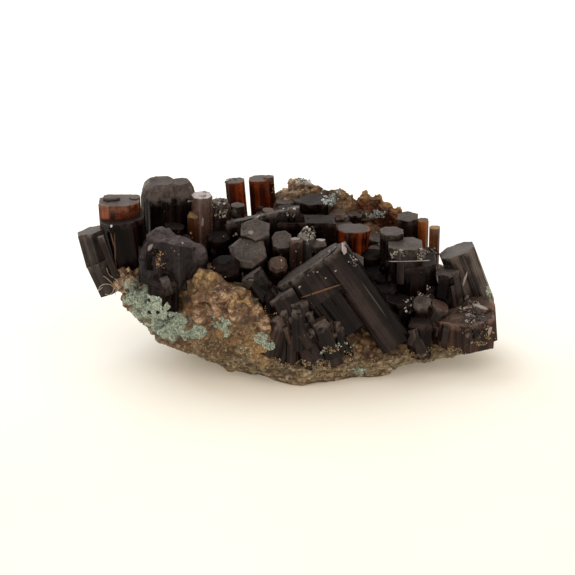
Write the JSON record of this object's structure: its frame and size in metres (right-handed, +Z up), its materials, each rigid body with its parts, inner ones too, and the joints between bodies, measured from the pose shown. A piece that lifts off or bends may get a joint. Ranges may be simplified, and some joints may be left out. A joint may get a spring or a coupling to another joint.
{
  "type": "vesuvianite crystal specimen",
  "caption": "Dark brown prismatic vesuvianite crystals with orange edges, grown together on a thin curved piece of lumpy matrix that rests on its underside.",
  "frame": {"origin": "on the ground, under the middle of the specimen's box", "axes": "+X along the specimen from the end with the tall domed crystals to the end with the low broken one, +Z up, away from the flat that it rests on"},
  "size_m": [0.0342, 0.0166, 0.0135],
  "materials": {
    "matrix_rock": "matte",
    "dark_crystal": "gloss",
    "grey_crystal": "satin",
    "pale_crystal": "gloss",
    "orange_crystal": "gloss"
  },
  "bodies": {
    "root": {"matrix": "matrix_rock", "left_outer_crystal": "dark_crystal", "left_broken_crystal": "dark_crystal", "left_sliver_crystal": "pale_crystal", "left_tall_crystal": "dark_crystal", "domed_crystal": "dark_crystal", "front_left_crystal": "grey_crystal", "pale_crystal": "pale_crystal", "grey_column_crystal": "grey_crystal", "dark_stub_crystal": "dark_crystal", "back_left_stub": "orange_crystal", "back_right_stub": "orange_crystal", "grey_slab_crystal": "grey_crystal", "plate_crystal": "dark_crystal", "dark_round_crystal": "dark_crystal", "centre_upper_crystals": "grey_crystal", "centre_lower_crystal": "dark_crystal", "frosted_crystal": "grey_crystal", "black_crystal": "dark_crystal", "black_back_crystals": "dark_crystal", "block_crystal": "dark_crystal", "tilted_crystal": "dark_crystal", "fan_crystals": "dark_crystal", "red_orange_crystal": "orange_crystal", "grey_hexagonal_crystal": "grey_crystal", "dark_low_crystals": "dark_crystal", "stepped_crystal": "dark_crystal", "small_front_crystals": "dark_crystal", "right_end_crystal": "dark_crystal", "broken_crystal": "dark_crystal", "amber_crystals": "orange_crystal", "dark_back_slab": "dark_crystal", "orange_crystal": "orange_crystal", "brown_column_crystal": "orange_crystal", "low_left_crystals": "dark_crystal", "low_back_left_crystals": "dark_crystal", "low_middle_crystals": "dark_crystal", "low_back_middle_crystals": "dark_crystal", "low_right_crystals": "dark_crystal"}
  },
  "joints": []
}
